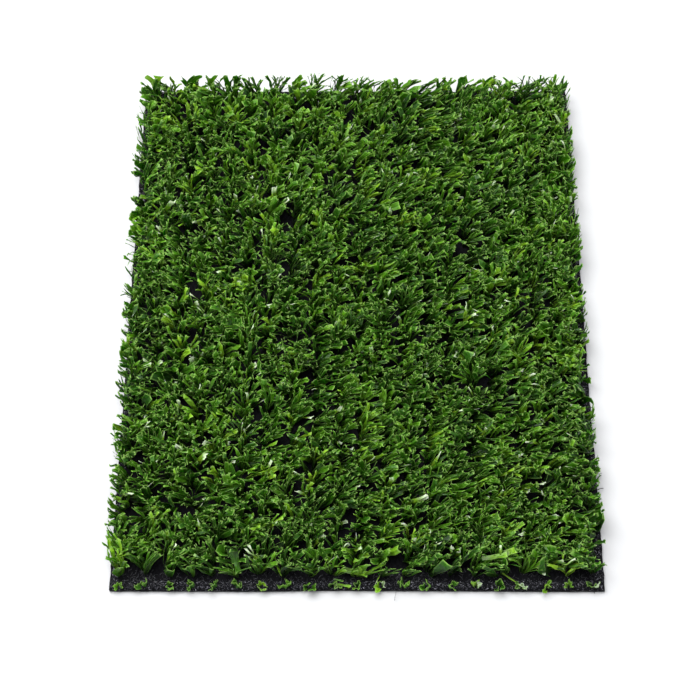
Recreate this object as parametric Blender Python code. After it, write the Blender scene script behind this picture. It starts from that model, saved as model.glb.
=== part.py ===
"""Tufted turf hitting mat: a woven primary backing, a latex coating and rows of cut pile.

The mat lies flat on z = 0 with its length along Y, and its origin is the middle of its underside.
Each row of pile is the yarn of one needle: a back stitch bedded in the latex, legs up through the
primary backing's needle slots, and tufts that flare out above it. One flared tuft stands for a run
of stitches. The first stitch of each row is a short sheared stub at the front edge.
"""

import bmesh
import bpy
from mathutils import Matrix, Vector

# Rows and stitches
ROW_COUNT = 21
ROW_GAUGE = 0.009525  # spacing of the needles across the mat
MAT_LENGTH = 0.250
STITCH_PITCH = 0.0055
FIRST_STITCH = 0.0018  # from the front edge to the first needle hole
STITCHES_PER_TUFT = 5

# Pile
PILE_HEIGHT = 0.012  # from the top of the primary backing to the tips
FLARE_HEIGHT = 0.005  # height over which a tuft opens out
ROOT_WIDTH = 0.0032  # of a tuft where it leaves the backing
ROOT_INSET = 0.0015  # by which a tuft's root is shorter than its tips, at each end
STUB_HEIGHT = 0.0025
STUB_LENGTH = 0.0022

# Backing layers and back stitches
PRIMARY_THICKNESS = 0.0006
COATING_THICKNESS = 0.0011
STITCH_WIDTH = 0.0022
STITCH_THICKNESS = 0.0005
STITCH_SETBACK = 0.0005  # from the mat's ends to the ends of a back stitch
LEG_WIDTH = 0.0012  # yarn in a needle slot, across the row
LEG_LENGTH = 0.0026  # and along it
STUB_LEG_LENGTH = 0.0014

# Fit
CLEARANCE = 0.0003  # between faces that meet
WELD = 0.0000001  # points nearer than this to a cut lie on it

# Worked out from the sizes above
MAT_WIDTH = ROW_COUNT * ROW_GAUGE
FRONT = -MAT_LENGTH / 2
STUB_Y = FRONT + FIRST_STITCH
STITCH_COUNT = int((MAT_LENGTH - 2 * FIRST_STITCH) / STITCH_PITCH)  # full stitches behind the stub
TUFT_WIDTH = ROW_GAUGE - CLEARANCE
STITCH_TOP = COATING_THICKNESS
STITCH_BOTTOM = STITCH_TOP - STITCH_THICKNESS
PRIMARY_BOTTOM = COATING_THICKNESS + CLEARANCE
PRIMARY_TOP = PRIMARY_BOTTOM + PRIMARY_THICKNESS
ROOT_BOTTOM = PRIMARY_TOP + CLEARANCE
PILE_TOP = PRIMARY_TOP + PILE_HEIGHT

# Materials: linear colour, roughness, metallic value
PILE_FINISH = ((0.030, 0.075, 0.010), 0.55, 0.0)
PRIMARY_FINISH = ((0.012, 0.011, 0.013), 0.85, 0.0)
COATING_FINISH = ((0.018, 0.018, 0.019), 0.90, 0.0)


def clear_scene():
    """Remove every object that the open file holds."""
    for obj in list(bpy.data.objects):
        bpy.data.objects.remove(obj)


def make_material(name, finish):
    """A Principled material from a colour, a roughness and a metallic value."""
    colour, roughness, metallic = finish
    material = bpy.data.materials.new(name)
    material.use_nodes = True
    inputs = material.node_tree.nodes["Principled BSDF"].inputs
    inputs["Base Color"].default_value = (*colour, 1.0)
    inputs["Roughness"].default_value = roughness
    inputs["Metallic"].default_value = metallic
    return material


def finish_mesh(name, bm, material):
    """Turn a bmesh into a named mesh with one material."""
    mesh = bpy.data.meshes.new(name)
    bm.to_mesh(mesh)
    bm.free()
    mesh.materials.append(material)
    return mesh


def add_object(name, mesh):
    """Put a mesh into the scene as a named object."""
    obj = bpy.data.objects.new(name, mesh)
    bpy.context.scene.collection.objects.link(obj)
    return obj


def add_box(bm, centre, size, bottom, top):
    """Add a box to a bmesh from its middle and size in plan and its two heights."""
    place = Vector((*centre, (bottom + top) / 2))
    scale = Vector((*size, top - bottom))
    bmesh.ops.create_cube(bm, size=1.0, matrix=Matrix.LocRotScale(place, None, scale))


def row_x(row):
    """A row's needle line across the mat, counted from the left."""
    return (row - (ROW_COUNT - 1) / 2) * ROW_GAUGE


def tuft_spans():
    """The middle and length of each flared tuft along its row, front to back."""
    spans = []
    for first in range(0, STITCH_COUNT, STITCHES_PER_TUFT):
        stitches = min(STITCHES_PER_TUFT, STITCH_COUNT - first)
        middle = STUB_Y + (first + (stitches + 1) / 2) * STITCH_PITCH
        spans.append((middle, stitches * STITCH_PITCH - CLEARANCE))
    return spans


def legs():
    """The middle and length of each yarn leg along its row, front to back, the stub's first."""
    return [(STUB_Y, STUB_LEG_LENGTH)] + [(middle, LEG_LENGTH) for middle, _ in tuft_spans()]


def raise_face(bm, face, size, height):
    """Extrude a level face to a height and to a size in plan about its own middle. Returns its end."""
    middle = face.calc_center_bounds()
    was = [2 * max(abs(vert.co[axis] - middle[axis]) for vert in face.verts) for axis in range(2)]
    end = bmesh.ops.extrude_discrete_faces(bm, faces=[face])["faces"][0]
    growth = (size[0] / was[0], size[1] / was[1], 1.0)
    bmesh.ops.scale(bm, vec=growth, space=Matrix.Translation(-middle), verts=end.verts)
    bmesh.ops.translate(bm, vec=(0.0, 0.0, height - middle.z), verts=end.verts)
    return end


def leg_face(bm, middle):
    """The top face of the back stitch that a leg stands on."""
    foot = Vector((0.0, middle, STITCH_TOP))
    level = [face for face in bm.faces if face.normal.z > 0.5]
    return min(level, key=lambda face: (face.calc_center_bounds() - foot).length)


def row_mesh(material):
    """One row of pile on the needle line x = 0: back stitch, legs, stub and flared tufts."""
    bm = bmesh.new()
    stitch = (STITCH_WIDTH, MAT_LENGTH - 2 * STITCH_SETBACK)
    add_box(bm, (0.0, 0.0), stitch, STITCH_BOTTOM, STITCH_TOP)
    cuts = [((side * LEG_WIDTH / 2, 0.0, 0.0), (1.0, 0.0, 0.0)) for side in (-1, 1)]
    for middle, length in legs():
        cuts += [((0.0, middle + side * length / 2, 0.0), (0.0, 1.0, 0.0)) for side in (-1, 1)]
    for point, normal in cuts:
        everything = bm.verts[:] + bm.edges[:] + bm.faces[:]
        bmesh.ops.bisect_plane(bm, geom=everything, dist=WELD, plane_co=point, plane_no=normal)
    bm.normal_update()

    stub = raise_face(bm, leg_face(bm, STUB_Y), (LEG_WIDTH, STUB_LEG_LENGTH), ROOT_BOTTOM)
    stub = raise_face(bm, stub, (ROOT_WIDTH, STUB_LENGTH), ROOT_BOTTOM)
    raise_face(bm, stub, (ROOT_WIDTH, STUB_LENGTH), PRIMARY_TOP + STUB_HEIGHT)
    for middle, length in tuft_spans():
        root = (ROOT_WIDTH, length - 2 * ROOT_INSET)
        end = raise_face(bm, leg_face(bm, middle), (LEG_WIDTH, LEG_LENGTH), ROOT_BOTTOM)
        end = raise_face(bm, end, root, ROOT_BOTTOM)
        end = raise_face(bm, end, (TUFT_WIDTH, length), ROOT_BOTTOM + FLARE_HEIGHT)
        raise_face(bm, end, (TUFT_WIDTH, length), PILE_TOP)
    bmesh.ops.recalc_face_normals(bm, faces=bm.faces)
    return finish_mesh("pile_row", bm, material)


def make_rows(material):
    """The rows of pile, side by side. They share one mesh."""
    mesh = row_mesh(material)
    for row in range(ROW_COUNT):
        add_object(f"pile_row_{row + 1:02d}", mesh).location.x = row_x(row)


def cut_sheet(name, bottom, top, material, cutter):
    """A sheet of the mat's outline with a cutter's boxes taken out of it."""
    bm = bmesh.new()
    add_box(bm, (0.0, 0.0), (MAT_WIDTH, MAT_LENGTH), bottom, top)
    sheet = add_object(name, finish_mesh(name, bm, material))
    cutter.hide_render = True
    cutter.display_type = "WIRE"
    cut = sheet.modifiers.new("cut", "BOOLEAN")
    cut.operation = "DIFFERENCE"
    cut.solver = "EXACT"
    cut.object = cutter


def make_primary_backing(material):
    """The woven sheet, with a needle slot round every leg."""
    bm = bmesh.new()
    for row in range(ROW_COUNT):
        for middle, length in legs():
            slot = (LEG_WIDTH + 2 * CLEARANCE, length + 2 * CLEARANCE)
            add_box(bm, (row_x(row), middle), slot, PRIMARY_BOTTOM - CLEARANCE, PRIMARY_TOP + CLEARANCE)
    slots = add_object("needle_slots", finish_mesh("needle_slots", bm, material))
    cut_sheet("primary_backing", PRIMARY_BOTTOM, PRIMARY_TOP, material, slots)


def make_latex_coating(material):
    """The coat under the sheet, with a groove that beds every back stitch."""
    groove = (STITCH_WIDTH + 2 * CLEARANCE, MAT_LENGTH + 2 * CLEARANCE)
    floor = STITCH_BOTTOM - CLEARANCE
    bm = bmesh.new()
    for row in range(ROW_COUNT):
        add_box(bm, (row_x(row), 0.0), groove, floor, COATING_THICKNESS + CLEARANCE)
    grooves = add_object("stitch_grooves", finish_mesh("stitch_grooves", bm, material))
    cut_sheet("latex_coating", 0.0, COATING_THICKNESS, material, grooves)


def main():
    clear_scene()
    make_latex_coating(make_material("latex", COATING_FINISH))
    make_primary_backing(make_material("woven_backing", PRIMARY_FINISH))
    make_rows(make_material("turf_yarn", PILE_FINISH))


main()
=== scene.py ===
"""The looks of a small tufted turf hitting mat, laid out as an add-on and run as a script.

The pile is slit polypropylene tape. Every stitch sends two legs of tape up through the woven backing,
each gathered at its needle hole, crumpled above it and slit into strips with blunt cut ends. A row's
first stitch is a stub at the front edge. Under the backing, a coat of latex holds the back stitches.
"""

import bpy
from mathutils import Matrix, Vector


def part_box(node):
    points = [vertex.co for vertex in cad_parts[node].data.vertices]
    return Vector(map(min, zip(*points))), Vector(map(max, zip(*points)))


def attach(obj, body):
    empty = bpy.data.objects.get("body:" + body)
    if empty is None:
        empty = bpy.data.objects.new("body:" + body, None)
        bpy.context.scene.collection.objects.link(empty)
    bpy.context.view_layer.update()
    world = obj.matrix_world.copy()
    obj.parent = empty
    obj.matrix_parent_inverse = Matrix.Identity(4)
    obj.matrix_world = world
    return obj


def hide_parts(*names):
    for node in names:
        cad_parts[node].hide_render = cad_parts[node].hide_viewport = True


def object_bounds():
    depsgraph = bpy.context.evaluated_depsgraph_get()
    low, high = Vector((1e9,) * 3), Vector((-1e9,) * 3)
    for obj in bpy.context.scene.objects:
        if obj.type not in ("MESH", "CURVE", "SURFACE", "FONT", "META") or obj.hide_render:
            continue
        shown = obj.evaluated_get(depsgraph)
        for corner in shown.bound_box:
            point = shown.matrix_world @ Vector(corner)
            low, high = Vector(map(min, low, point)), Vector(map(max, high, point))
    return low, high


bl_info = {
    "name": "Tufted Turf Mat",
    "version": (1, 0, 0),
    "blender": (4, 5, 0),
    "location": "View3D > Sidebar > Turf Mat",
    "description": "Builds the cut pile, the woven backing and the latex coat of a small turf mat",
    "category": "Add Mesh",
}

import math
from collections import namedtuple

import bmesh
import bpy
import numpy as np
from bpy.props import FloatProperty, FloatVectorProperty, IntProperty, PointerProperty
from mathutils import Vector

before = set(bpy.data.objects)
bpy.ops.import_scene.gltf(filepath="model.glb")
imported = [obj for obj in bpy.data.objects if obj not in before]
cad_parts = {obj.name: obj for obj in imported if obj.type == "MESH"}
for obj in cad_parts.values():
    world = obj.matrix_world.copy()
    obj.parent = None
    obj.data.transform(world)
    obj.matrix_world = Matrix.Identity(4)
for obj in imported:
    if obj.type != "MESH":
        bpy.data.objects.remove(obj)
CAD_LOW, CAD_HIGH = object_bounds()

ROW_NODES = sorted(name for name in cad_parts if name.startswith("pile_row_"))
PRIMARY_LOW, PRIMARY_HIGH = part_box("primary_backing")
FRONT, BACK = CAD_LOW.y, CAD_HIGH.y
LEFT, RIGHT = CAD_LOW.x, CAD_HIGH.x
WIDTH, LENGTH = RIGHT - LEFT, BACK - FRONT
ROW_GAUGE = WIDTH / len(ROW_NODES)
CLOTH_TOP, CLOTH_BOTTOM = PRIMARY_HIGH.z, PRIMARY_LOW.z
UP = np.array([0.0, 0.0, 1.0])

FIRST_STITCH = 0.0018  # from the front edge to the first needle hole
ROOT_DEPTH = 0.0007  # from the top of the cloth down to the root of a leg
LOWEST_BEND = CLOTH_TOP + 0.0004  # tape that bends down comes no nearer to the cloth

UV_NAME = "OFBake"
TINT_BANDS = 64  # each strip of tape takes its tint and streaks from one of these bands of the UV map
PALE_BAND = TINT_BANDS - 1  # the last band is tape with whitish ends
GREEN_BANDS = TINT_BANDS - 1
TIP_V = 0.98  # where a tape's tip lies along the UV map

# Seeds of the random draws
SIDE_LEAN_SEED, AWAY_LEAN_SEED, TONE_SEED = 11, 12, 13
END_CUT_SEED, SIDE_CUT_SEED = 21, 22
CLOTH_SEED, CLOTH_SAG_SEED, LATEX_SEED = 31, 32, 41
FLUFF_SEED, THREAD_SEED, BLADE_SEED, ROW_SEED = 52, 61, 77, 1000


# Shared maths ---------------------------------------------------------


def unit(vectors):
    """Vectors scaled to length one, along the last axis."""
    return vectors / np.maximum(np.linalg.norm(vectors, axis=-1, keepdims=True), 1e-12)


def crosswise(ways):
    """For each way, a direction at right angles to it with no Y."""
    return unit(np.stack([ways[:, 2], 0 * ways[:, 1], -ways[:, 0]], -1))


def ease(value, low, high):
    """A smooth step from 0 at low to 1 at high."""
    share = np.clip((value - low) / (high - low), 0.0, 1.0)
    return share * share * (3.0 - 2.0 * share)


def near(low, high, reach):
    """1 where low meets high, fading over the reach as they part."""
    return np.exp((low - high) / reach)


def soft_field(seed, cell, x, y):
    """A smooth random field from about -1 to 1, with features about one cell wide."""
    size = 64
    values = np.random.default_rng(seed).uniform(-1.0, 1.0, (size, size))
    u, v = (x - LEFT) / cell + size, (y - FRONT) / cell + size
    i, j = np.floor(u).astype(int), np.floor(v).astype(int)
    s, t = ease(u - i, 0.0, 1.0), ease(v - j, 0.0, 1.0)
    front = values[i % size, j % size] * (1 - s) + values[(i + 1) % size, j % size] * s
    back = values[i % size, (j + 1) % size] * (1 - s) + values[(i + 1) % size, (j + 1) % size] * s
    return front * (1 - t) + back * t


def row_middle(row):
    """The X of a row's needle line."""
    low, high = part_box(row)
    return (low.x + high.x) / 2


# Meshes and pieces ----------------------------------------------------


def mesh_of(bm, name):
    """A bmesh made into a mesh, and freed."""
    mesh = bpy.data.meshes.new(name)
    bm.to_mesh(mesh)
    bm.free()
    return mesh


def ribbon_mesh(name, count, across, along):
    """A mesh of flat ribbons, made as one grid with the faces between the ribbons taken out."""
    bm = bmesh.new()
    columns = count * (across + 1)
    bmesh.ops.create_grid(bm, x_segments=columns - 1, y_segments=along, size=1.0)
    bm.faces.ensure_lookup_table()
    between = [face for face in bm.faces if face.index % (columns - 1) % (across + 1) == across]
    bmesh.ops.delete(bm, geom=between, context="FACES")
    return mesh_of(bm, name)


def lay_ribbons(mesh, points, uv=None):
    """Bend a ribbon mesh to points[along, ribbon, across, xyz] and write its UV map likewise."""
    mesh.vertices.foreach_set("co", points.astype(np.float32).ravel())
    if uv is not None:
        corners = np.zeros(len(mesh.loops), np.int32)
        mesh.loops.foreach_get("vertex_index", corners)
        layer = mesh.uv_layers.new(name=UV_NAME)
        layer.data.foreach_set("uv", uv.reshape(-1, 2)[corners].astype(np.float32).ravel())
    mesh.update()


def joined(name, meshes):
    """One mesh of several, which are removed."""
    bm = bmesh.new()
    for mesh in meshes:
        bm.from_mesh(mesh)
        bpy.data.meshes.remove(mesh)
    return mesh_of(bm, name)


def vertex_places(mesh):
    """The mesh's vertex positions, as an array."""
    places = np.zeros(len(mesh.vertices) * 3, np.float32)
    mesh.vertices.foreach_get("co", places)
    return places.reshape(-1, 3).astype(float)


def add_piece(name, mesh, material, wall=None, offset=0.0):
    """A finished piece: linked, riding on the mat, with its material and its wall."""
    piece = bpy.data.objects.new(name, mesh)
    bpy.context.scene.collection.objects.link(piece)
    mesh.materials.clear()
    mesh.materials.append(material)
    if wall:
        solid = piece.modifiers.new("wall", "SOLIDIFY")
        solid.thickness = wall
        solid.offset = offset
    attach(piece, "root")
    return piece


# Tapes ----------------------------------------------------------------


class Tapes:
    """Lengths of tape, one for each entry of every array: where each starts, stands and bends."""

    def __init__(self, count, columns):
        self.root = np.zeros((count, 3))  # where it leaves the backing
        self.stand = np.zeros((count, 3))  # the way it stands
        self.splay = np.zeros((count, 2))  # how it parts from its leg's middle, low down
        self.curl = np.zeros((count, 2))  # how it bends over, high up
        self.kink = np.zeros((count, 2))  # how it wanders on the way
        self.phase = np.zeros(count)
        self.twist = np.zeros(count)  # turn of the section from root to tip, in radians
        self.length = np.zeros(count)
        self.ragged = np.zeros((count, columns))  # how far the cut stands proud, across the tip
        self.band = np.zeros(count)
        self.lit = np.zeros(count)  # where along the UV map its root starts, if light gets in at the side
        self.section = np.zeros((count, columns, 2))  # the tape's line in plan, round its middle

    def points(self, along, beat=7.0, gather=1.0, opens=0.5, floor=None, uv_low=0.02):
        """Ribbon points and UVs for lay_ribbons.

        Roots are gathered to a share of the section, which opens by a share of the length.
        """
        count, columns = self.section.shape[:2]
        steps = np.linspace(0.0, 1.0, along + 1)
        ways, places = [], [self.root]
        for t in steps:
            way = self.stand.copy()
            way[:, :2] += self.splay * (1.0 - ease(t, 0.15, 0.6)) + self.curl * t**1.5
            way[:, :2] += self.kink * np.sin(self.phase + beat * t)[:, None]
            ways.append(unit(way))
        for t, way, after in zip(steps[1:], ways, ways[1:]):
            place = places[-1] + unit(way + after) * (self.length / along)[:, None]
            if floor is not None and t > 0.3:
                place[:, 2] = np.maximum(place[:, 2], floor)
            places.append(place)
        points = np.zeros((along + 1, count, columns, 3))
        for j, (t, way, place) in enumerate(zip(steps, ways, places)):
            first = crosswise(way)
            second = np.cross(way, first)
            turn = self.twist * t
            c, s = np.cos(turn)[:, None], np.sin(turn)[:, None]
            section = self.section * (gather + (1.0 - gather) * ease(t, 0.0, opens))
            u = section[..., 0] * c - section[..., 1] * s
            v = section[..., 0] * s + section[..., 1] * c
            points[j] = place[:, None] + u[..., None] * first[:, None] + v[..., None] * second[:, None]
        points[-1] += ways[-1][:, None] * self.ragged[..., None]
        across = np.linspace(-0.5, 0.5, columns)
        uv = np.zeros((along + 1, count, columns, 2))
        uv[..., 0] = (self.band[:, None] + 0.5 + 0.8 * across) / TINT_BANDS
        low = np.maximum(uv_low, self.lit)
        uv[..., 1] = (low + (TIP_V - low) * steps[:, None])[..., None]
        return points, uv

    def lie_flat(self, width):
        """Give every tape a straight section of its width that lies level."""
        first = crosswise(self.stand)
        level = unit(np.cross(UP, self.stand))
        way = unit(self.stand)
        axes = np.stack([(level * first).sum(-1), (level * np.cross(way, first)).sum(-1)], -1)
        across = np.linspace(-0.5, 0.5, self.section.shape[1])
        self.section = axes[:, None] * (across * width[:, None])[..., None]


def crush(points, depth, rng):
    """Crumple ribbons above their roots by moving their points about."""
    loose = ease(np.linspace(0.0, 1.0, len(points)), 0.15, 0.6)[:, None, None, None]
    points += rng.normal(0.0, depth, points.shape) * loose


# A level or edge that things are pressed back to: its axis, its place, which way is out and the
# share that they keep of how far they stand out.
Edge = namedtuple("Edge", "axis place outward give")


def press_back(points, edges):
    """Press what stands out past each edge back towards it."""
    for edge in edges:
        beyond = np.maximum((points[..., edge.axis] - edge.place) * edge.outward, 0.0)
        points[..., edge.axis] -= edge.outward * beyond * (1.0 - edge.give)


# Pile -----------------------------------------------------------------

# A way that a leg's tape is cut and lies: the share of legs, the strips of each and the points across
# and along a strip, how even the slits are, the crumple's wave and swing and its turn in all, how far
# strips part and where along them they have parted, their scatter at the tips, curl, stray and kink and
# the kink's beat, how far points are crushed, the tint, and where the root lies along the UV map.
Cut = namedtuple(
    "Cut",
    "share pieces columns along evenness wave swing open scatter curl stray kink beat crush"
    " turn opens tone uv_low",
    defaults=(0.0, 0.5, 0.46, 0.02),
)
CUTS = (
    # deeply ruffled tape with a few slits
    Cut(share=0.35, pieces=4, columns=8, along=6, evenness=3.0, wave=0.0026, swing=1.8, open=1.3,
        scatter=0.0012, curl=0.28, stray=0.65, kink=0.55, beat=15.0, crush=0.00024),
    # short leaves
    Cut(share=0.33, pieces=8, columns=4, along=7, evenness=2.5, wave=0.0036, swing=1.5, open=1.2,
        scatter=0.0013, curl=0.28, stray=0.90, kink=0.60, beat=19.0, crush=0.00020),
    # narrow strips
    Cut(share=0.22, pieces=18, columns=2, along=6, evenness=1.8, wave=0.0045, swing=1.5, open=1.2,
        scatter=0.0012, curl=0.28, stray=0.95, kink=0.55, beat=15.0, crush=0.00012),
    # broad flat leaves
    Cut(share=0.10, pieces=5, columns=3, along=6, evenness=2.5, wave=0.0090, swing=1.3, open=1.0,
        scatter=0.0010, curl=0.30, stray=0.70, kink=0.30, beat=6.0, crush=0.00018),
)
STUB = Cut(share=1.0, pieces=2, columns=22, along=3, evenness=4.0, wave=0.0034, swing=1.2, open=0.8,
           scatter=0.0001, curl=0.10, stray=0.10, kink=0.10, beat=3.0, crush=0.00010,
           turn=5.2, opens=0.9, tone=0.74, uv_low=0.70)
ACROSS_ROW = np.array([1.3, 0.65])  # the tape has more room across its row than along it
CRUMPLE_STEPS = 60  # points along the line of a crumpled tape
STRIP_SPAN = (0.04, 0.96)  # of the width between two slits, what the strip keeps
CAUGHT_LENGTH = (0.55, 0.90)  # of the full length, for strips that are bent short, low in the pile
SPLAY_REACH = 0.375  # share of its length over which a strip parts from its leg's middle
LEAN_CURL = 0.6  # how much further a strip bends over the way its leg leans

# The sheared height and the sides for all the pile, and the ends for all but the stubs
PILE_SIDES = (
    Edge(axis=2, place=CAD_HIGH.z - 0.0005, outward=1.0, give=0.35),
    Edge(axis=0, place=LEFT - 0.0006, outward=-1.0, give=0.35),
    Edge(axis=0, place=RIGHT - 0.0010, outward=1.0, give=0.20),
)
PILE_ENDS = (
    Edge(axis=1, place=FRONT + 0.0050, outward=-1.0, give=0.20),
    Edge(axis=1, place=BACK + 0.0002, outward=1.0, give=0.30),
)


def lean_at(x, y):
    """Which way the pile leans over the mat, as slopes to the right and away from the front.

    It leans right but for a band on the left, stands up at the front and keeps in at the right edge.
    """
    right = -0.05 + 0.65 * ease(x, -0.065, 0.01)
    upright = 1.0 - 0.75 * near(FRONT + 0.006, y, 0.012)
    side = right * upright + 0.25 * soft_field(SIDE_LEAN_SEED, 0.018, x, y)
    away = 0.05 + 0.20 * soft_field(AWAY_LEAN_SEED, 0.016, x, y)
    side = side + 0.08 * near(LEFT, x, 0.009) - 1.0 * near(x, RIGHT, 0.012)
    away = away + 0.15 * near(FRONT + 0.007, y, 0.006) + 0.25 * near(y, BACK, 0.006)
    return side, away


LEG_SPLIT = 0.0012  # from the middle of a stitch to each of its two legs


def stitches_of_row(pitch):
    """How many stitches follow the stub along a row, and their spacing, close to the pitch."""
    room = LENGTH - 2 * FIRST_STITCH
    stitches = round(room / pitch)
    return stitches, room / stitches


def legs_of_row(row, rng, pitch):
    """The legs of one row behind its stub: where each is rooted and how it leans."""
    stitches, pitch = stitches_of_row(pitch)
    legs = 2 * stitches
    part = np.tile([-1.0, 1.0], stitches)
    y = FRONT + FIRST_STITCH + np.arange(1, stitches + 1).repeat(2) * pitch
    y = y + part * LEG_SPLIT + rng.normal(0, 0.0005, legs)
    x = row_middle(row) + rng.normal(0, 0.0006, legs)
    cross = np.where(rng.random(stitches) < 0.5, 1.0, -1.0).repeat(2) * part
    side, away = lean_at(x, y)
    side = side + cross * 0.20 + rng.normal(0, 0.13, legs)
    away = away + part * 0.08 + rng.normal(0, 0.11, legs)
    return np.stack([x, y], -1), np.stack([side, away], -1)


def crumple(legs, tape_width, cut, rng):
    """The line in plan of each leg's crumpled tape: long waves with shorter ones on them."""
    s = (np.arange(CRUMPLE_STEPS) + 0.5) / CRUMPLE_STEPS * tape_width
    start, long_phase, short_phase = rng.uniform(0, 2 * math.pi, (3, legs, 1))
    long_wave = cut.wave * rng.uniform(0.75, 1.4, (legs, 1))
    short_wave = cut.wave * rng.uniform(0.3, 0.55, (legs, 1))
    long_swing = cut.swing * rng.uniform(0.6, 1.3, (legs, 1))
    short_swing = cut.swing * rng.uniform(0.1, 0.6, (legs, 1))
    angle = start + cut.turn * s / tape_width
    angle = angle + long_swing * np.sin(2 * math.pi * s / long_wave + long_phase)
    angle = angle + short_swing * np.sin(2 * math.pi * s / short_wave + short_phase)
    curve = np.cumsum(np.stack([np.cos(angle), np.sin(angle)], -1), 1) * tape_width / CRUMPLE_STEPS
    return curve - curve.mean(1, keepdims=True)


def slit_lines(legs, cut, tape_width, rng):
    """The line in plan of every strip of every leg, cut out of the leg's crumpled tape."""
    share = rng.gamma(cut.evenness, 1.0, (legs, cut.pieces)) + 0.15
    width = share / share.sum(1, keepdims=True)
    start = np.cumsum(width, 1) - width
    curve = crumple(legs, tape_width, cut, rng)
    last = CRUMPLE_STEPS - 1
    at = (start[..., None] + width[..., None] * np.linspace(*STRIP_SPAN, cut.columns)) * last
    low = np.clip(np.floor(at).astype(int), 0, last - 1)
    leg = np.arange(legs)[:, None, None]
    line = curve[leg, low] * (1 - (at - low))[..., None] + curve[leg, low + 1] * (at - low)[..., None]
    return line.reshape(-1, cut.columns, 2)


def slit(root, lean, length, cut, pile, rng):
    """Each leg's tape, crumpled, and slit along into narrower tapes."""
    legs, per_leg, columns = len(root), cut.pieces, cut.columns
    line = slit_lines(legs, cut, pile.tape_width, rng)
    middle = line.mean(1)
    n = legs * per_leg
    tapes = Tapes(n, columns)
    tapes.section = line - middle[:, None]
    tapes.root[:, :2] = root.repeat(per_leg, 0) + middle * pile.gather
    tapes.root[:, 2] = CLOTH_TOP - ROOT_DEPTH
    tapes.length = rng.normal(length, 0.06 * length, legs).repeat(per_leg) + rng.normal(0, 0.04 * length, n)
    caught = rng.random(n) < pile.caught
    tapes.length *= np.where(caught, rng.uniform(*CAUGHT_LENGTH, n), 1.0)
    tapes.stand[:, :2] = lean.repeat(per_leg, 0)
    tapes.stand[:, 2] = 1.0
    spread = middle * (1 - pile.gather) * cut.open + rng.normal(0, cut.scatter, (n, 2)) * ACROSS_ROW
    tapes.splay = spread / (SPLAY_REACH * length)
    bend = rng.uniform(0, 2 * math.pi, legs)
    bent = np.stack([np.cos(bend), np.sin(bend)], -1) * rng.gamma(2.0, cut.curl, legs)[:, None] * ACROSS_ROW
    stray = rng.normal(0, cut.stray, (n, 2)) * ACROSS_ROW
    tapes.curl = (bent + lean * LEAN_CURL).repeat(per_leg, 0) + stray + middle / 0.003 * 0.25
    tapes.kink = rng.normal(0, cut.kink, (n, 2))
    tapes.phase = rng.uniform(0, 2 * math.pi, n)
    tapes.twist = rng.normal(0, 1.0, n)
    slant = rng.normal(0, 0.0004, (n, 1)) * np.linspace(-1, 1, columns)
    tapes.ragged = rng.normal(0, 0.0003, (n, columns)) + slant

    x, y = root.T
    tone = rng.normal(cut.tone, 0.20, legs) + 0.20 * soft_field(TONE_SEED, 0.012, x, y)
    # Painted light: tapes towards the back, and at the back and left edges, take lighter tints where the
    # pile's fringe catches the light.
    tone = tone + 0.06 * y / BACK + 0.15 * (near(y, BACK, 0.004) + near(LEFT, x, 0.005))
    tone = tone.repeat(per_leg) + rng.normal(0, 0.15, n)
    tapes.band = np.clip(np.floor(tone * GREEN_BANDS), 0, GREEN_BANDS - 1)
    # A share of the strips ends in the whitish band.
    whitish = pile.stub_whitish if cut is STUB else pile.whitish
    tapes.band[rng.random(n) < whitish] = PALE_BAND
    sides = near(LEFT + 0.003, x, 0.004) + near(x, RIGHT - 0.003, 0.004)
    ends = near(y, BACK, 0.004) + near(FRONT + 0.0045, y, 0.004)
    tapes.lit = np.minimum(0.45 * (sides + ends), 0.5).repeat(per_leg)
    return tapes


def back_stitch(row, pitch, tape_width):
    """The row's tape under the cloth, bedded in the latex from stitch to stitch."""
    stitches, pitch = stitches_of_row(pitch)
    along = stitches * 2
    mesh = ribbon_mesh("back_stitch", 1, 1, along)
    t = np.arange(along + 1)
    points = np.zeros((along + 1, 1, 2, 3))
    half = 0.11 * tape_width * (1.0 + 0.25 * np.cos(math.pi * t))
    points[..., 0] = row_middle(row) + half[:, None, None] * np.array([-1.0, 1.0])
    points[..., 1] = (FRONT + FIRST_STITCH + t * pitch / 2)[:, None, None]
    points[..., 2] = (CLOTH_BOTTOM - 0.0005 + 0.00015 * np.cos(math.pi * t))[:, None, None]
    uv = np.zeros((along + 1, 1, 2, 2))
    uv[..., 0] = (0.5 * GREEN_BANDS + np.array([0.1, 0.9])) / TINT_BANDS
    uv[..., 1] = (0.2 + 0.5 * t / along)[:, None, None]
    lay_ribbons(mesh, points, uv)
    return mesh


def make_row(row, pile, material):
    """One needle's yarn, in one piece: its back stitch, its stub and its cut pile."""
    rng = np.random.default_rng(ROW_SEED + ROW_NODES.index(row))
    root, lean = legs_of_row(row, rng, pile.stitch_pitch)
    kind = rng.choice(len(CUTS), len(root), p=[cut.share for cut in CUTS])
    batches = [(cut, root[kind == i], lean[kind == i], pile.tape_length) for i, cut in enumerate(CUTS)]
    stub_root = np.array([[row_middle(row) + rng.normal(0, 0.0003), FRONT + 0.5 * FIRST_STITCH]])
    batches.append((STUB, stub_root, rng.normal(0, 0.15, (1, 2)), pile.stub_length))
    meshes = [back_stitch(row, pile.stitch_pitch, pile.tape_width)]
    for cut, roots, leans, length in batches:
        tapes = slit(roots, leans, length, cut, pile, rng)
        points, uv = tapes.points(cut.along, cut.beat, pile.gather, cut.opens, LOWEST_BEND, cut.uv_low)
        crush(points, cut.crush, rng)
        press_back(points, PILE_SIDES if cut is STUB else PILE_SIDES + PILE_ENDS)
        meshes.append(ribbon_mesh("strips", len(tapes.length), cut.columns - 1, cut.along))
        lay_ribbons(meshes[-1], points, uv)
    name = row.replace("pile_row", "turf_row")
    piece = add_piece(name, joined(name, meshes), material, pile.tape_thickness)
    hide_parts(row)
    return piece


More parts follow.
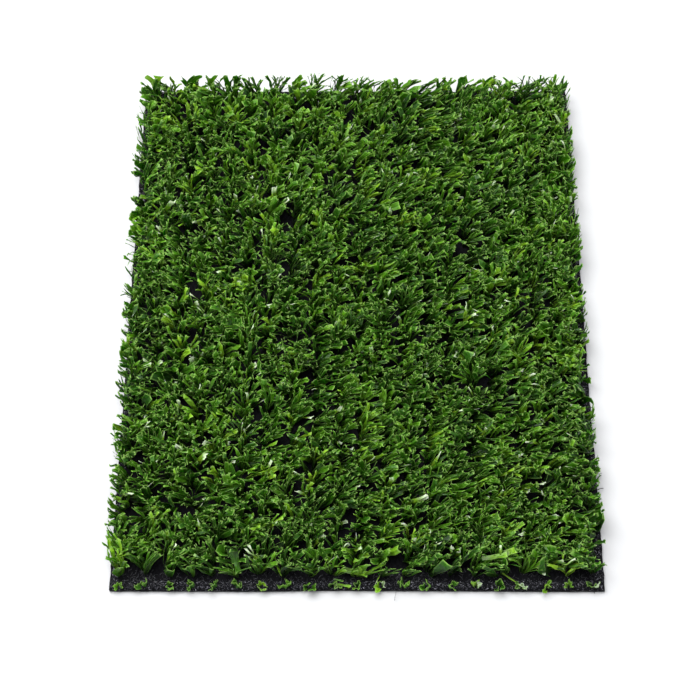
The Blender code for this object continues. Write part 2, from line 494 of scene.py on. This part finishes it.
# Blades that lie loose on the pile or over the bare front edge: where each starts, from the middle
# of the front edge, its height, its heading from +X, its rise, length, width and tint.
Blade = namedtuple("Blade", "x y z heading rise length width tint")
BLADES = (
    Blade(x=-0.0060, y=0.0072, z=0.0050, heading=-10, rise=-0.05, length=0.0105, width=0.0024, tint=0.93),
    Blade(x=-0.0095, y=0.0014, z=0.0036, heading=-3, rise=-0.05, length=0.0070, width=0.0010, tint=0.90),
    Blade(x=-0.0095, y=0.0034, z=0.0040, heading=-14, rise=-0.05, length=0.0042, width=0.0008, tint=0.70),
    Blade(x=0.0583, y=0.0054, z=0.0056, heading=-31, rise=-0.30, length=0.0120, width=0.0005, tint=1.00),
    Blade(x=0.0725, y=0.0076, z=0.0070, heading=-45, rise=-0.10, length=0.0045, width=0.0013, tint=1.00),
    Blade(x=0.0500, y=0.0092, z=0.0118, heading=3, rise=0.08, length=0.0100, width=0.0018, tint=0.90),
    Blade(x=0.0590, y=0.0112, z=0.0120, heading=15, rise=0.10, length=0.0045, width=0.0026, tint=0.97),
    Blade(x=0.0572, y=0.0102, z=0.0125, heading=80, rise=0.60, length=0.0040, width=0.0006, tint=1.00),
    Blade(x=-0.0335, y=0.0125, z=0.0095, heading=-72, rise=-0.60, length=0.0098, width=0.0005, tint=0.95),
    Blade(x=-0.0490, y=0.0130, z=0.0105, heading=-82, rise=-0.50, length=0.0090, width=0.0022, tint=0.52),
    Blade(x=-0.0517, y=0.0138, z=0.0105, heading=-60, rise=-0.45, length=0.0065, width=0.0018, tint=0.45),
    Blade(x=0.0098, y=0.0062, z=0.0045, heading=-118, rise=-0.25, length=0.0060, width=0.0003, tint=1.00),
)


def make_blades(pile, material):
    """The loose blades, in one piece."""
    rng = np.random.default_rng(BLADE_SEED)
    along, columns = 6, 3
    count = len(BLADES)
    tapes = Tapes(count, columns)
    for i, blade in enumerate(BLADES):
        heading = math.radians(blade.heading)
        tapes.root[i] = (blade.x, FRONT + blade.y, CAD_LOW.z + blade.z)
        tapes.stand[i] = (math.cos(heading), math.sin(heading), blade.rise)
    tapes.lie_flat(np.array([blade.width for blade in BLADES]))
    tapes.length = np.array([blade.length for blade in BLADES])
    tapes.curl = rng.normal(0, 0.12, (count, 2))
    tapes.twist = rng.normal(0, 0.25, count)
    tapes.ragged = rng.normal(0, 0.0002, (count, columns))
    tapes.band = np.floor(np.array([blade.tint for blade in BLADES]) * GREEN_BANDS)
    mesh = ribbon_mesh("loose_blades", count, columns - 1, along)
    points, uv = tapes.points(along, uv_low=0.45)
    crush(points, 0.00014, rng)
    lay_ribbons(mesh, points, uv)
    return add_piece("loose_blades", mesh, material, pile.tape_thickness)


# Backing --------------------------------------------------------------


def hand_cut(x, y):
    """Points near the mat's edges, moved to make the edges waver as a knife cut does."""
    near_end = near(FRONT, y, 0.008) - near(y, BACK, 0.008)
    near_side = near(LEFT, x, 0.008) - near(x, RIGHT, 0.008)
    end_cut = 0.00040 * (soft_field(END_CUT_SEED, 0.030, x, 0 * y) + 1.0)
    side_cut = 0.00022 * (soft_field(SIDE_CUT_SEED, 0.030, 0 * x, y) - 1.0)
    return x - side_cut * near_side, y - end_cut * near_end


def make_cloth(backing, material):
    """The woven primary backing: warp and weft tapes that pass over and under each other."""
    columns, rows = round(WIDTH / backing.warp_pitch), round(LENGTH / backing.weft_pitch)
    bm = bmesh.new()
    bmesh.ops.create_grid(bm, x_segments=columns, y_segments=rows, size=0.5)
    mesh = mesh_of(bm, "woven_backing")
    flat = vertex_places(mesh) + 0.5
    i, j = np.rint(flat[:, 0] * columns), np.rint(flat[:, 1] * rows)
    x, y = LEFT + flat[:, 0] * WIDTH, FRONT + flat[:, 1] * LENGTH
    over = np.where((i + j) % 2 == 0, 1.0, -1.0)
    at_side = (i == 0) | (i == columns)
    at_end = (j == 0) | (j == rows)
    rng = np.random.default_rng(CLOTH_SEED)
    x, y = hand_cut(x, y)
    x = x + np.where(at_side, 0.00012, 0.00005) * rng.normal(0, 1, len(x))
    y = y + np.where(at_end, 0.00014, 0.00006) * rng.normal(0, 1, len(y))
    z = CLOTH_TOP + backing.relief * over * 0.5 + 0.00004 * soft_field(CLOTH_SAG_SEED, 0.004, x, y)
    mesh.vertices.foreach_set("co", np.stack([x, y, z], -1).astype(np.float32).ravel())
    mesh.shade_smooth()
    piece = add_piece("woven_backing", mesh, material, CLOTH_TOP - CLOTH_BOTTOM, -1.0)
    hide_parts("primary_backing")
    return piece


def make_latex(backing, pitch, material):
    """The latex coat, ribbed underneath where it covers the back stitches."""
    columns, rows = len(ROW_NODES) * 8, round(LENGTH / pitch) * 4
    bm = bmesh.new()
    bmesh.ops.create_grid(bm, x_segments=columns, y_segments=rows, size=0.5)
    rim = bmesh.ops.extrude_edge_only(bm, edges=[edge for edge in bm.edges if edge.is_boundary])
    walls = [item for item in rim["geom"] if isinstance(item, bmesh.types.BMVert)]
    bmesh.ops.translate(bm, verts=walls, vec=Vector((0.0, 0.0, 1.0)))
    top = bmesh.ops.contextual_create(
        bm, geom=[item for item in rim["geom"] if isinstance(item, bmesh.types.BMEdge) and item.is_boundary]
    )
    if not top["faces"]:
        raise RuntimeError("the latex coat's top didn't close")
    bmesh.ops.recalc_face_normals(bm, faces=bm.faces)
    mesh = mesh_of(bm, "latex_coat")
    flat = vertex_places(mesh)
    x, y = LEFT + (flat[:, 0] + 0.5) * WIDTH, FRONT + (flat[:, 1] + 0.5) * LENGTH
    off_row = (x - LEFT) / ROW_GAUGE % 1.0 - 0.5
    lump = 0.80 + 0.20 * np.cos(2 * math.pi * (y - FRONT - FIRST_STITCH) / pitch)
    rib = np.exp(-((off_row * ROW_GAUGE / 0.0016) ** 2)) * lump
    pitted = 0.00004 * (1.0 + soft_field(LATEX_SEED, 0.0023, x, y))
    under = CAD_LOW.z + backing.rib_depth * (1.0 - rib) + pitted
    z = np.where(flat[:, 2] > 0.5, CLOTH_BOTTOM, under)
    x, y = hand_cut(x, y)
    mesh.vertices.foreach_set("co", np.stack([x, y, z], -1).astype(np.float32).ravel())
    mesh.shade_smooth()
    mesh.set_sharp_from_angle(angle=math.radians(60))
    piece = add_piece("latex_coat", mesh, material)
    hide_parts("latex_coating")
    return piece


FLUFF_SIDES = (
    Edge(axis=0, place=LEFT + 0.0003, outward=-1.0, give=0.3),
    Edge(axis=0, place=RIGHT - 0.0003, outward=1.0, give=0.3),
)


def make_fluff(backing, material):
    """Short fibres of the backing's fleece, lying on its bare edges."""
    rng = np.random.default_rng(FLUFF_SEED)
    count, along = backing.fluff_count, 5
    tapes = Tapes(count, 2)
    front = rng.random(count) < 0.75
    across, back = rng.uniform(LEFT + 0.0005, RIGHT - 0.0035, count), rng.uniform(FRONT, BACK, count)
    side = np.where(rng.random(count) < 0.5, LEFT + 0.0006, RIGHT - 0.0030) + rng.uniform(0, 0.0020, count)
    tapes.root[:, 0] = np.where(front, across, side)
    tapes.root[:, 1] = np.where(front, FRONT + rng.uniform(0.0004, 0.0080, count), back)
    tapes.root[:, 2] = CLOTH_TOP + rng.uniform(0.00002, 0.0004, count)
    heading = rng.uniform(0, 2 * math.pi, count)
    tapes.stand = np.stack([np.cos(heading), np.abs(np.sin(heading)), rng.normal(0.02, 0.10, count)], -1)
    tapes.lie_flat(rng.uniform(0.00005, 0.00013, count))
    tapes.length = rng.uniform(0.0006, 0.0024, count)
    tapes.curl = rng.normal(0, 0.5, (count, 2))
    tapes.kink = rng.normal(0, 0.3, (count, 2))
    tapes.phase = rng.uniform(0, 2 * math.pi, count)
    points, _ = tapes.points(along, beat=6.0, floor=CLOTH_TOP + 0.00004)
    press_back(points, FLUFF_SIDES)
    mesh = ribbon_mesh("backing_fluff", count, 1, along)
    lay_ribbons(mesh, points)
    return add_piece("backing_fluff", mesh, material, 0.00006)


# Threads that hang out of the cut edges: the side, how far along it from its left or front end,
# the length and the turn from straight out, in degrees.
Thread = namedtuple("Thread", "side at length turn")
THREADS = (
    Thread("front", 0.1158, 0.0050, 0), Thread("front", 0.1950, 0.0020, 12),
    Thread("front", 0.0370, 0.0012, 30), Thread("front", 0.0710, 0.0014, -35),
    Thread("front", 0.1620, 0.0011, -20), Thread("front", 0.0022, 0.0018, 55),
    Thread("right", 0.0430, 0.0028, 40), Thread("right", 0.0470, 0.0036, 65),
    Thread("right", 0.0505, 0.0024, 20), Thread("right", 0.1310, 0.0014, -30),
    Thread("right", 0.1960, 0.0016, 35), Thread("left", 0.0310, 0.0015, 25),
    Thread("left", 0.0880, 0.0012, -40), Thread("left", 0.1700, 0.0014, 15),
    Thread("back", 0.0150, 0.0020, 10), Thread("back", 0.0920, 0.0013, -25),
    Thread("back", 0.1989, 0.0042, -5), Thread("back", 0.1410, 0.0012, 30),
)
HIDDEN_END = 0.001  # of a thread, inside the cloth
OUTWARD = {"front": (0.0, -1.0), "right": (1.0, 0.0), "back": (0.0, 1.0), "left": (-1.0, 0.0)}


def make_threads(material):
    """Frayed ends of the backing's tapes along the cut edges, in one piece."""
    rng = np.random.default_rng(THREAD_SEED)
    count, along = len(THREADS), 6
    tapes = Tapes(count, 2)
    for i, thread in enumerate(THREADS):
        out = Vector(OUTWARD[thread.side])
        along_side = Vector((abs(out.y), abs(out.x)))
        corner_x = RIGHT if thread.side == "right" else LEFT
        corner_y = BACK if thread.side == "back" else FRONT
        start = Vector((corner_x, corner_y)) + along_side * thread.at - out * HIDDEN_END
        turn = math.radians(thread.turn)
        way = out * math.cos(turn) + along_side * math.sin(turn)
        tapes.root[i] = (*start, CLOTH_TOP - 0.0003)
        tapes.stand[i] = (*way, 0.05)
    tapes.lie_flat(rng.uniform(0.00012, 0.00030, count))
    tapes.length = np.array([thread.length for thread in THREADS]) + HIDDEN_END
    tapes.curl = rng.normal(0, 0.5, (count, 2))
    tapes.kink = rng.normal(0, 0.15, (count, 2))
    tapes.phase = rng.uniform(0, 2 * math.pi, count)
    mesh = ribbon_mesh("edge_threads", count, 1, along)
    points, _ = tapes.points(along, 5.0)
    lay_ribbons(mesh, points)
    return add_piece("edge_threads", mesh, material, 0.00008)


# Shader nodes ---------------------------------------------------------


def add_node(tree, kind, inputs=None, **settings):
    """A node with its settings made, and its inputs set or, where the value is a socket, joined."""
    node = tree.nodes.new(kind)
    for name, value in settings.items():
        setattr(node, name, value)
    for key, value in (inputs or {}).items():
        if isinstance(value, bpy.types.NodeSocket):
            tree.links.new(value, node.inputs[key])
        else:
            node.inputs[key].default_value = value
    return node


def math_node(tree, operation, *values):
    """The output of one Math node."""
    return add_node(tree, "ShaderNodeMath", dict(enumerate(values)), operation=operation).outputs[0]


def map_range(tree, value, low, high, to_low, to_high):
    """The output of one Map Range node."""
    inputs = {"Value": value, "From Min": low, "From Max": high, "To Min": to_low, "To Max": to_high}
    return add_node(tree, "ShaderNodeMapRange", inputs).outputs["Result"]


def mix_colour(tree, factor, a, b, blend="MIX"):
    """The output of one Mix node for colours, given as sockets or as red, green and blue."""
    inputs = {"Factor": factor, "A": opaque(a), "B": opaque(b)}
    return add_node(tree, "ShaderNodeMix", inputs, data_type="RGBA", blend_type=blend).outputs["Result"]


def opaque(colour):
    """A colour with an alpha of 1. A socket stays as it is."""
    return colour if isinstance(colour, bpy.types.NodeSocket) else (*colour, 1.0)


def grey(tree, shade):
    """A shade as a colour."""
    inputs = {"Red": shade, "Green": shade, "Blue": shade}
    return add_node(tree, "ShaderNodeCombineColor", inputs).outputs[0]


def noise_at(tree, place, scale, detail):
    """The value of a noise texture at a place."""
    inputs = {"Vector": place, "Scale": scale, "Detail": detail}
    return add_node(tree, "ShaderNodeTexNoise", inputs).outputs["Fac"]


def colour_ramp(tree, factor, stops):
    """The colour output of a ramp with the stops, each a place and a colour."""
    node = add_node(tree, "ShaderNodeValToRGB", {"Fac": factor})
    elements = node.color_ramp.elements
    while len(elements) < len(stops):
        elements.new(0.5)
    for element, (place, colour) in zip(elements, stops):
        element.position = place
        element.color = opaque(colour)
    return node.outputs["Color"]


def new_group(name, inputs, outputs):
    """An empty node group with number sockets, and its two end nodes. A Vector input is a vector."""
    group = bpy.data.node_groups.new(name, "ShaderNodeTree")
    for socket in inputs:
        kind = "NodeSocketVector" if socket == "Vector" else "NodeSocketFloat"
        group.interface.new_socket(socket, in_out="INPUT", socket_type=kind)
    for socket in outputs:
        group.interface.new_socket(socket, in_out="OUTPUT", socket_type="NodeSocketFloat")
    return group, group.nodes.new("NodeGroupInput").outputs, group.nodes.new("NodeGroupOutput").inputs


def streaks_group():
    """Fine lines along a drawn tape: a shade round one, and a height."""
    found = bpy.data.node_groups.get("tape_streaks")
    if found:
        return found
    group, given, out = new_group("tape_streaks", ("Across", "Along", "Contrast"), ("Shade", "Height"))
    place = add_node(group, "ShaderNodeCombineXYZ", {"X": given["Across"], "Y": given["Along"]}).outputs[0]
    noise = noise_at(group, place, 1.0, 3.0)
    swing = math_node(group, "MULTIPLY", math_node(group, "SUBTRACT", noise, 0.5), given["Contrast"])
    group.links.new(math_node(group, "ADD", swing, 1.0), out["Shade"])
    group.links.new(noise, out["Height"])
    return group


def mottle_group():
    """Dust and fleece in specks of two sizes: a mask from 0 to 1, and a height."""
    found = bpy.data.node_groups.get("mottle")
    if found:
        return found
    group, given, out = new_group("mottle", ("Vector", "Scale", "Cover"), ("Mask", "Height"))
    broad = noise_at(group, given["Vector"], given["Scale"], 3.0)
    finer = math_node(group, "MULTIPLY", given["Scale"], 4.7)
    fine = noise_at(group, given["Vector"], finer, 2.0)
    halves = [math_node(group, "MULTIPLY", value, 0.5) for value in (broad, fine)]
    both = math_node(group, "ADD", *halves)
    bare = math_node(group, "SUBTRACT", 1.0, given["Cover"])
    above = math_node(group, "SUBTRACT", both, bare)
    mask = add_node(group, "ShaderNodeMath", {0: above, 1: 8.0}, operation="MULTIPLY", use_clamp=True)
    group.links.new(mask.outputs[0], out["Mask"])
    group.links.new(both, out["Height"])
    return group


def use_group(tree, group, **inputs):
    """The outputs of a node group placed in a tree with its inputs set or joined."""
    return add_node(tree, "ShaderNodeGroup", inputs, node_tree=group).outputs


def new_material(name):
    """A new node material, and its tree."""
    material = bpy.data.materials.new(name)
    material.use_nodes = True
    return material, material.node_tree


def set_finish(tree, colour, grain, roughness, bump, specular=0.5):
    """Join a colour, a roughness that follows the grain and a bump to the tree's shader.

    The roughness is its low and high value, and the bump its height, strength and distance.
    """
    shader = tree.nodes["Principled BSDF"].inputs
    tree.links.new(colour, shader["Base Color"])
    tree.links.new(map_range(tree, grain, 0.3, 0.7, *roughness), shader["Roughness"])
    shader["Specular IOR Level"].default_value = specular
    relief = add_node(tree, "ShaderNodeBump", dict(zip(("Height", "Strength", "Distance"), bump)))
    tree.links.new(relief.outputs["Normal"], shader["Normal"])
    return shader


# Materials ------------------------------------------------------------


def yarn_material(pile):
    """Slit polypropylene tape: tint by band, lengthwise streaks, painted shade towards the root, and pale
    slit edges and cut ends, part stress-whitening and part painted highlight.
    """
    material, tree = new_material("turf_yarn")
    uv = add_node(tree, "ShaderNodeUVMap", uv_map=UV_NAME).outputs["UV"]
    parts = add_node(tree, "ShaderNodeSeparateXYZ", {0: uv}).outputs
    bands = math_node(tree, "MULTIPLY", parts["X"], TINT_BANDS)
    band = math_node(tree, "FLOOR", bands)
    across = math_node(tree, "FRACT", bands)
    tint = colour_ramp(
        tree,
        math_node(tree, "DIVIDE", band, GREEN_BANDS),
        ((0.0, pile.dark), (0.45, pile.mid), (0.80, pile.light), (1.0, pile.lime)),
    )
    streaks = use_group(
        tree,
        streaks_group(),
        Across=math_node(tree, "MULTIPLY", bands, 7.0),
        Along=math_node(tree, "MULTIPLY", parts["Y"], 2.5),
        Contrast=2.2,
    )
    # Painted shade: the tape darkens towards its root, low in the pile, where the pile shades it.
    depth = math_node(tree, "POWER", map_range(tree, parts["Y"], 0.12, 0.95, 0.11, 1.05), 1.8)
    shade = math_node(tree, "MULTIPLY", depth, streaks["Shade"])
    body = mix_colour(tree, 1.0, tint, grey(tree, shade), "MULTIPLY")
    # Pale slit edges and cut ends: partly stress-whitening of the tape, partly painted highlight where rims
    # and tips catch the light; dimmed by the painted root shade.
    off_middle = math_node(tree, "ABSOLUTE", math_node(tree, "SUBTRACT", across, 0.5))
    rim = map_range(tree, off_middle, 0.31, 0.40, 0.0, 0.30)
    tip = map_range(tree, parts["Y"], 0.93, 0.98, 0.0, 0.75)
    whitening_and_rim_highlight = math_node(tree, "MULTIPLY", math_node(tree, "MAXIMUM", rim, tip), depth)
    edged = mix_colour(tree, whitening_and_rim_highlight, body, pile.edge)
    is_pale = math_node(tree, "GREATER_THAN", band, PALE_BAND - 0.5)
    pale = math_node(tree, "MULTIPLY", is_pale, map_range(tree, parts["Y"], 0.74, 0.96, 0.0, 0.85))
    colour, grain = mix_colour(tree, pale, edged, pile.pale), streaks["Height"]
    shader = set_finish(tree, colour, grain, (0.30, 0.50), (grain, 0.5, 0.00005), 0.23)
    shader["Subsurface Weight"].default_value = 0.35
    shader["Subsurface Radius"].default_value = (0.6, 1.0, 0.3)
    shader["Subsurface Scale"].default_value = 0.0006
    return material


def weave_height(tree, where, backing):
    """The tapes of the weave, as a height that rises over the middle of each tape on top."""
    parts = add_node(tree, "ShaderNodeSeparateXYZ", {0: where}).outputs
    warp = math_node(tree, "SINE", math_node(tree, "MULTIPLY", parts["X"], math.pi / backing.warp_pitch))
    weft = math_node(tree, "SINE", math_node(tree, "MULTIPLY", parts["Y"], math.pi / backing.weft_pitch))
    return math_node(tree, "MULTIPLY", warp, weft), parts


def bare_edge(tree, place):
    """A mask that is 1 along the mat's edges, where no pile covers the cloth, and 0 further in."""
    sides = []
    for axis, low, high in (("X", LEFT, RIGHT), ("Y", FRONT, BACK)):
        off_middle = math_node(tree, "ABSOLUTE", math_node(tree, "SUBTRACT", place[axis], (low + high) / 2))
        half = (high - low) / 2
        sides.append(map_range(tree, off_middle, half - 0.008, half - 0.003, 0.0, 1.0))
    return math_node(tree, "MAXIMUM", *sides)


def cloth_material(backing):
    """Black woven tape under a thin grey fleece, with pale specks of lint, and painted shade in the weave's
    dips and under the pile.
    """
    material, tree = new_material("woven_backing")
    where = add_node(tree, "ShaderNodeTexCoord").outputs["Object"]
    weave, parts = weave_height(tree, where, backing)
    streaks = use_group(
        tree,
        streaks_group(),
        Across=math_node(tree, "MULTIPLY", parts["X"], 9000.0),
        Along=math_node(tree, "MULTIPLY", parts["Y"], 700.0),
        Contrast=1.6,
    )
    # Painted shade: less fleece and fewer lint specks away from the bare edges, so the cloth under the pile
    # is darker as if the pile shades it.
    bare = bare_edge(tree, parts)
    cover = map_range(tree, bare, 0.0, 1.0, 0.20, 0.46)
    fleece = use_group(tree, mottle_group(), Vector=where, Scale=900.0, Cover=cover)
    flecks = map_range(tree, bare, 0.0, 1.0, 0.15, 0.41)
    lint = use_group(tree, mottle_group(), Vector=where, Scale=1700.0, Cover=flecks)
    # Painted shade: the tapes are darker where they dip under the weave and lighter where they ride over
    # it.
    shade = math_node(tree, "MULTIPLY", map_range(tree, weave, -1.0, 1.0, 0.5, 1.3), streaks["Shade"])
    tape = mix_colour(tree, 1.0, backing.tape, grey(tree, shade), "MULTIPLY")
    furred = mix_colour(tree, fleece["Mask"], tape, backing.fleece)
    colour = mix_colour(tree, lint["Mask"], furred, backing.lint)
    height = math_node(tree, "ADD", math_node(tree, "MULTIPLY", weave, 0.5), fleece["Height"])
    set_finish(tree, colour, fleece["Height"], (0.55, 0.95), (height, 0.7, 0.00012), 0.06)
    return material


def latex_material(backing):
    """Matt black latex with chalky filler and fine pits."""
    material, tree = new_material("latex")
    where = add_node(tree, "ShaderNodeTexCoord").outputs["Object"]
    chalk = use_group(tree, mottle_group(), Vector=where, Scale=260.0, Cover=0.50)
    pits = add_node(tree, "ShaderNodeTexVoronoi", {"Vector": where, "Scale": 1400.0}).outputs["Distance"]
    colour = mix_colour(tree, chalk["Mask"], backing.latex, backing.chalk)
    height = math_node(tree, "ADD", pits, chalk["Height"])
    set_finish(tree, colour, chalk["Height"], (0.60, 0.90), (height, 0.5, 0.00010), 0.10)
    return material


def fluff_material(backing):
    """Loose fleece fibres, mostly dark, in tints that change along them."""
    material, tree = new_material("fluff")
    where = add_node(tree, "ShaderNodeTexCoord").outputs["Object"]
    patches = use_group(tree, mottle_group(), Vector=where, Scale=500.0, Cover=0.36)
    colour, grain = mix_colour(tree, patches["Mask"], backing.fleece, backing.lint), patches["Height"]
    set_finish(tree, colour, grain, (0.45, 0.75), (grain, 0.3, 0.00003))
    return material


def floor_material(studio):
    """Matt white studio board with a faint tooth."""
    material, tree = new_material("floor")
    where = add_node(tree, "ShaderNodeTexCoord").outputs["Object"]
    tooth = use_group(tree, mottle_group(), Vector=where, Scale=40.0, Cover=0.5)
    paler = tuple(min(1.0, value * 1.006) for value in studio.floor)
    colour, grain = mix_colour(tree, tooth["Mask"], studio.floor, paler), tooth["Height"]
    set_finish(tree, colour, grain, (0.65, 0.75), (grain, 0.05, 0.0001), 0.2)
    return material


# Settings -------------------------------------------------------------


def length_setting(name, description, default):
    """A setting for a length."""
    return FloatProperty(name=name, description=description, default=default, unit="LENGTH", precision=5)


def share_setting(name, description, default):
    """A setting for a share, from 0 to 1."""
    return FloatProperty(
        name=name, description=description, default=default, subtype="FACTOR", min=0, max=1
    )


def colour_setting(name, description, default):
    """A setting for a colour, as red, green and blue."""
    return FloatVectorProperty(
        name=name, description=description, default=default, subtype="COLOR", min=0, max=1
    )


class PileSettings(bpy.types.PropertyGroup):
    """Sizes and colours of the cut pile"""

    stitch_pitch: length_setting("Stitch pitch", "Spacing of the stitches along a row", 0.0055)
    tape_width: length_setting("Tape width", "Width of the tape before it is slit", 0.0145)
    tape_thickness: length_setting("Tape thickness", "Thickness of the tape", 0.0001)
    tape_length: length_setting("Tape length", "Length of a leg from the backing to its cut", 0.0139)
    stub_length: length_setting("Stub length", "Length of the stubs at the front edge", 0.0034)
    gather: share_setting("Gather", "Share of its width that the tape keeps at the root", 0.30)
    caught: share_setting("Caught", "Share of the strips that are bent short", 0.38)
    # Shares of the strips, and of the stubs' strips, that end in the whitish colour.
    whitish: share_setting("Bleached", "Share of the strips with bleached ends", 0.020)
    stub_whitish: share_setting("Stubs bleached", "Share of the stubs' strips with bleached ends", 0.16)
    dark: colour_setting("Dark tape", "Darkest tape colour", (0.0062, 0.0300, 0.0012))
    mid: colour_setting("Tape", "Usual tape colour", (0.0220, 0.0930, 0.0023))
    light: colour_setting("Light tape", "Light tape colour", (0.0780, 0.2160, 0.0066))
    lime: colour_setting("Lime tape", "Lightest tape colour", (0.1820, 0.3540, 0.0140))
    # Colour of the pale slit edges and cut ends: partly stress-whitening, partly painted highlight.
    edge: colour_setting("Cut edges", "Colour of slit edges and cut ends", (0.2500, 0.4380, 0.0920))
    # Colour of the whitish ends.
    pale: colour_setting("Bleached ends", "Colour of bleached ends", (0.60, 0.72, 0.52))


class BackingSettings(bpy.types.PropertyGroup):
    """Sizes and colours of the woven backing and the latex coat"""

    warp_pitch: length_setting("Warp pitch", "Spacing of the tapes along the mat", 0.00106)
    weft_pitch: length_setting("Weft pitch", "Spacing of the tapes across the mat", 0.0020)
    relief: length_setting("Relief", "Height of the weave from low to high", 0.0001)
    rib_depth: length_setting("Rib depth", "How far the back stitches stand out under the latex", 0.0004)
    fluff_count: IntProperty(
        name="Fluff", description="Number of loose fibres on the bare edges", default=850, min=1
    )
    tape: colour_setting("Backing tape", "Colour of the woven tapes", (0.0025, 0.0025, 0.0035))
    fleece: colour_setting("Fleece", "Colour of the fleece on the backing", (0.0150, 0.0155, 0.0195))
    lint: colour_setting("Lint", "Colour of pale specks of lint", (0.74, 0.73, 0.84))
    latex: colour_setting("Latex", "Colour of the latex", (0.011, 0.011, 0.012))
    chalk: colour_setting("Chalk", "Colour of filler that shows in the latex", (0.045, 0.045, 0.047))


class StudioSettings(bpy.types.PropertyGroup):
    """Light and camera of the stage"""

    key_power: FloatProperty(
        name="Key light", description="Power of the light overhead, on the left", default=62.0, unit="POWER"
    )
    fill_power: FloatProperty(
        name="Fill light", description="Power of the light in front", default=8.0, unit="POWER"
    )
    room_light: FloatProperty(
        name="Room light", description="Strength of the light from all round", default=0.36, min=0
    )
    room: colour_setting("Room", "Colour of the light from all round", (0.96, 0.98, 1.0))
    floor: colour_setting("Floor", "Colour of the floor", (0.50, 0.503, 0.512))
    lens: FloatProperty(name="Lens", description="Focal length in millimetres", default=85.6)
    tilt: FloatProperty(
        name="Tilt", description="How far the camera looks down from level",
        default=math.radians(60.88), subtype="ANGLE",
    )


# Operators ------------------------------------------------------------

Lamp = namedtuple("Lamp", "name place size")
KEY = Lamp("key", place=(-0.45, 0.35, 1.5), size=1.6)
FILL = Lamp("fill", place=(0.6, -1.0, 1.4), size=1.2)
FLOOR_REACH = 4.0  # from the middle of the floor to its edges
CAMERA_PLACE = (-0.0029, -0.3670, 0.6340)
CAMERA_TURN = math.radians(-0.01)  # about the vertical
SENSOR_WIDTH = 36.0  # in millimetres


class TURF_OT_latex_coat(bpy.types.Operator):
    """Build the latex coat with its ribbed underside"""

    bl_idname = "turf.latex_coat"
    bl_label = "Latex Coat"

    def execute(self, context):
        backing = context.scene.turf_backing
        make_latex(backing, context.scene.turf_pile.stitch_pitch, latex_material(backing))
        return {"FINISHED"}


class TURF_OT_woven_backing(bpy.types.Operator):
    """Build the woven backing, its fluff and its frayed threads"""

    bl_idname = "turf.woven_backing"
    bl_label = "Woven Backing"

    def execute(self, context):
        backing = context.scene.turf_backing
        material = cloth_material(backing)
        cloth = make_cloth(backing, material)
        fluff = make_fluff(backing, fluff_material(backing))
        threads = make_threads(material)
        return {"FINISHED"}


class TURF_OT_pile_rows(bpy.types.Operator):
    """Build the yarn of every needle row, and the loose blades"""

    bl_idname = "turf.pile_rows"
    bl_label = "Pile Rows"

    def execute(self, context):
        if not ROW_NODES:
            raise RuntimeError("the frame has no pile rows")
        pile = context.scene.turf_pile
        material = yarn_material(pile)
        for row in ROW_NODES:
            make_row(row, pile, material)
        make_blades(pile, material)
        return {"FINISHED"}


class TURF_OT_stage(bpy.types.Operator):
    """Set the floor, the lights and the camera"""

    bl_idname = "turf.stage"
    bl_label = "Stage"

    def execute(self, context):
        scene = context.scene
        studio = scene.turf_studio
        bm = bmesh.new()
        bmesh.ops.create_grid(bm, x_segments=1, y_segments=1, size=FLOOR_REACH)
        mesh = mesh_of(bm, "floor")
        mesh.materials.append(floor_material(studio))
        floor = bpy.data.objects.new("floor", mesh)
        scene.collection.objects.link(floor)
        scene.world = bpy.data.worlds.new("studio")
        scene.world.use_nodes = True
        room = scene.world.node_tree.nodes["Background"].inputs
        room["Color"].default_value = (*studio.room, 1.0)
        room["Strength"].default_value = studio.room_light
        for lamp, power in ((KEY, studio.key_power), (FILL, studio.fill_power)):
            light = bpy.data.lights.new(lamp.name, "AREA")
            light.size = lamp.size
            light.energy = power
            hung = bpy.data.objects.new(lamp.name, light)
            hung.location = lamp.place
            hung.rotation_euler = (-Vector(lamp.place)).to_track_quat("-Z", "Y").to_euler()
            scene.collection.objects.link(hung)
        camera = bpy.data.cameras.new("camera")
        camera.sensor_width = SENSOR_WIDTH
        camera.lens = studio.lens
        view = bpy.data.objects.new("camera", camera)
        view.location = CAMERA_PLACE
        view.rotation_euler = (math.radians(90.0) - studio.tilt, 0.0, CAMERA_TURN)
        scene.collection.objects.link(view)
        scene.camera = view
        scene.view_settings.view_transform = "Standard"
        return {"FINISHED"}


class TURF_PT_mat(bpy.types.Panel):
    """Buttons that build the mat"""

    bl_idname = "TURF_PT_mat"
    bl_label = "Turf Mat"
    bl_space_type = "VIEW_3D"
    bl_region_type = "UI"
    bl_category = "Turf Mat"

    def draw(self, context):
        for operator in OPERATORS:
            self.layout.operator(operator.bl_idname)


OPERATORS = (TURF_OT_latex_coat, TURF_OT_woven_backing, TURF_OT_pile_rows, TURF_OT_stage)
SETTINGS = {"turf_pile": PileSettings, "turf_backing": BackingSettings, "turf_studio": StudioSettings}
CLASSES = (*SETTINGS.values(), *OPERATORS, TURF_PT_mat)


def register():
    for item in CLASSES:
        bpy.utils.register_class(item)
    for name, settings in SETTINGS.items():
        setattr(bpy.types.Scene, name, PointerProperty(type=settings))


def unregister():
    for name in SETTINGS:
        delattr(bpy.types.Scene, name)
    for item in reversed(CLASSES):
        bpy.utils.unregister_class(item)


def main():
    register()
    bpy.ops.turf.latex_coat()
    bpy.ops.turf.woven_backing()
    bpy.ops.turf.pile_rows()
    bpy.ops.turf.stage()


if __name__ == "__main__":
    main()
